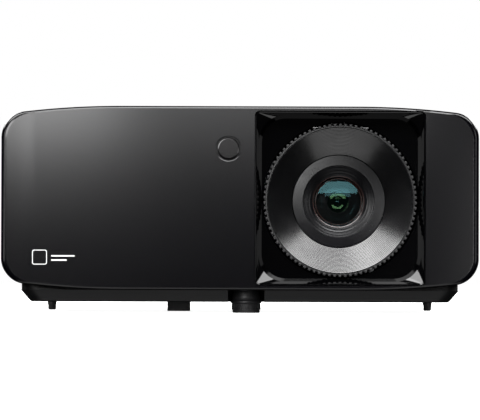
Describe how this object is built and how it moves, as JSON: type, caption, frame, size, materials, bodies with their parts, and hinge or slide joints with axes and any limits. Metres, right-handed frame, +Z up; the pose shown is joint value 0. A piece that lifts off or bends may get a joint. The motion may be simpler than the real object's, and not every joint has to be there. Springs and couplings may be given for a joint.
{
  "type": "home projector",
  "caption": "Compact laser home projector: low black case, square lens bay with a knurled focus ring and a stepped cone, keypad on top, sockets behind, and screw feet below.",
  "frame": {"origin": "on the floor, under the middle of the case (centre of the bounding box's bottom)", "axes": "+X to the right seen from the front, +Y from the lens to the rear panel, +Z up"},
  "size_m": [0.274, 0.216, 0.1187],
  "materials": {
    "housing": "satin moulded, fine spark texture",
    "panel": "smooth satin black with a polished rim",
    "bay": "polished piano black",
    "ring": "fine matt, knurled",
    "baffle": "dead black ribs with a light sheen",
    "cell": "black anodised, satin",
    "glass": "polished, coated",
    "ir": "dark smoked filter, satin",
    "cast": "as cast",
    "board": "solder-masked board",
    "copper": "bare copper",
    "fins": "rolled sheet",
    "steel": "plated",
    "brass": "turned",
    "rubber": "matt",
    "black": "moulded",
    "key": "soft matt",
    "pipe": "clear light pipe",
    "phosphor": "coated disc"
  },
  "bodies": {
    "case": {"front_panel": "panel", "lens_bay": "bay", "top_cover": "housing", "base_case": "housing", "rear_panel": "housing", "left_vent_grille": "housing", "right_vent_grille": "housing", "ir_window": "ir", "ir_receiver_board": "board", "keypad_board": "board", "status_light_pipes": "pipe", "lens_barrel": "cell", "rear_lens_elements": "glass", "engine_housing": "cast", "illumination_lenses": "glass", "light_tunnel": "glass", "prism": "glass", "imaging_chip": "steel", "imaging_chip_board": "board", "imaging_chip_heat_sink": "fins", "phosphor_wheel_motor": "steel", "laser_module": "copper", "laser_heat_sink": "fins", "heat_pipes": "copper", "intake_fan_frame": "black", "exhaust_fan_frame": "black", "main_board": "board", "power_supply_board": "board", "hdmi_sockets": "steel", "usb_socket": "steel", "network_socket": "steel", "audio_socket": "black", "serial_socket": "steel", "ac_inlet": "black", "speaker": "black", "security_bar": "black", "mount_inserts": "brass", "case_screws": "steel"},
    "focus_ring": {"focus_ring": "ring", "focus_ring_baffle": "baffle"},
    "focus_group": {"focus_lens_cell": "cell", "front_lens": "glass"},
    "zoom_ring": {"zoom_ring": "ring"},
    "zoom_group": {"zoom_lens_cell": "cell"},
    "front_foot_lift": {"front_foot_pad": "rubber"},
    "front_foot_knob": {"front_foot_knob": "black"},
    "rear_left_lift": {"rear_foot_left_tip": "rubber"},
    "rear_left_screw": {"rear_foot_left_screw": "black"},
    "rear_right_lift": {"rear_foot_right_tip": "rubber"},
    "rear_right_screw": {"rear_foot_right_screw": "black"},
    "phosphor_wheel": {"phosphor_wheel": "phosphor"},
    "intake_rotor": {"intake_fan_rotor": "black"},
    "exhaust_rotor": {"exhaust_fan_rotor": "black"},
    "up_key": {"up_key": "key"},
    "down_key": {"down_key": "key"},
    "left_key": {"left_key": "key"},
    "right_key": {"right_key": "key"},
    "enter_key": {"enter_key": "key"},
    "menu_key": {"menu_key": "key"},
    "power_key": {"power_key": "key"}
  },
  "joints": [
    {"name": "focus_turn", "type": "hinge", "parent": "case", "child": "focus_ring", "pos_m": [0.0576, 0, 0.065], "axis": [0, 1, 0], "range_deg": [-50, 50]},
    {"name": "focus_slide", "type": "slide", "parent": "case", "child": "focus_group", "axis": [0, 1, 0], "range_m": [-0.0015, 0.0015]},
    {"name": "zoom_turn", "type": "hinge", "parent": "case", "child": "zoom_ring", "pos_m": [0.0576, 0, 0.065], "axis": [0, 1, 0], "range_deg": [-15, 15]},
    {"name": "zoom_slide", "type": "slide", "parent": "case", "child": "zoom_group", "axis": [0, 1, 0], "range_m": [-0.002, 0.002]},
    {"name": "front_foot_turn", "type": "hinge", "parent": "front_foot_lift", "child": "front_foot_knob", "pos_m": [0.0037, -0.088, 0], "axis": [0, 0, 1], "range_deg": [0, 1800]},
    {"name": "front_foot_lift", "type": "slide", "parent": "case", "child": "front_foot_lift", "axis": [0, 0, -1], "range_m": [0, 0.01]},
    {"name": "rear_left_foot_turn", "type": "hinge", "parent": "rear_left_lift", "child": "rear_left_screw", "pos_m": [-0.1165, 0.062, 0], "axis": [0, 0, 1], "range_deg": [0, 1440]},
    {"name": "rear_left_foot_lift", "type": "slide", "parent": "case", "child": "rear_left_lift", "axis": [0, 0, -1], "range_m": [0, 0.008]},
    {"name": "rear_right_foot_turn", "type": "hinge", "parent": "rear_right_lift", "child": "rear_right_screw", "pos_m": [0.1165, 0.062, 0], "axis": [0, 0, 1], "range_deg": [0, 1440]},
    {"name": "rear_right_foot_lift", "type": "slide", "parent": "case", "child": "rear_right_lift", "axis": [0, 0, -1], "range_m": [0, 0.008]},
    {"name": "phosphor_wheel_spin", "type": "hinge", "parent": "case", "child": "phosphor_wheel", "pos_m": [-0.038, 0.008, 0.065], "axis": [1, 0, 0], "continuous": true},
    {"name": "intake_fan_spin", "type": "hinge", "parent": "case", "child": "intake_rotor", "pos_m": [-0.1214, 0.04, 0.065], "axis": [1, 0, 0], "continuous": true},
    {"name": "exhaust_fan_spin", "type": "hinge", "parent": "case", "child": "exhaust_rotor", "pos_m": [0.1214, 0.025, 0.065], "axis": [1, 0, 0], "continuous": true},
    {"name": "up_key_press", "type": "slide", "parent": "case", "child": "up_key", "axis": [0, 0, -1], "range_m": [0, 0.0008], "stiffness_N_per_m": 900},
    {"name": "down_key_press", "type": "slide", "parent": "case", "child": "down_key", "axis": [0, 0, -1], "range_m": [0, 0.0008], "stiffness_N_per_m": 900},
    {"name": "left_key_press", "type": "slide", "parent": "case", "child": "left_key", "axis": [0, 0, -1], "range_m": [0, 0.0008], "stiffness_N_per_m": 900},
    {"name": "right_key_press", "type": "slide", "parent": "case", "child": "right_key", "axis": [0, 0, -1], "range_m": [0, 0.0008], "stiffness_N_per_m": 900},
    {"name": "enter_key_press", "type": "slide", "parent": "case", "child": "enter_key", "axis": [0, 0, -1], "range_m": [0, 0.0008], "stiffness_N_per_m": 900},
    {"name": "menu_key_press", "type": "slide", "parent": "case", "child": "menu_key", "axis": [0, 0, -1], "range_m": [0, 0.0008], "stiffness_N_per_m": 900},
    {"name": "power_key_press", "type": "slide", "parent": "case", "child": "power_key", "axis": [0, 0, -1], "range_m": [0, 0.0008], "stiffness_N_per_m": 900}
  ],
  "couplings": [
    {"joint": "focus_turn", "follows": "focus_slide", "rad_per_m": 581.77},
    {"joint": "zoom_turn", "follows": "zoom_slide", "rad_per_m": 130.89},
    {"joint": "front_foot_turn", "follows": "front_foot_lift", "rad_per_m": 3141.6},
    {"joint": "rear_left_foot_turn", "follows": "rear_left_foot_lift", "rad_per_m": 3141.6},
    {"joint": "rear_right_foot_turn", "follows": "rear_right_foot_lift", "rad_per_m": 3141.6}
  ]
}
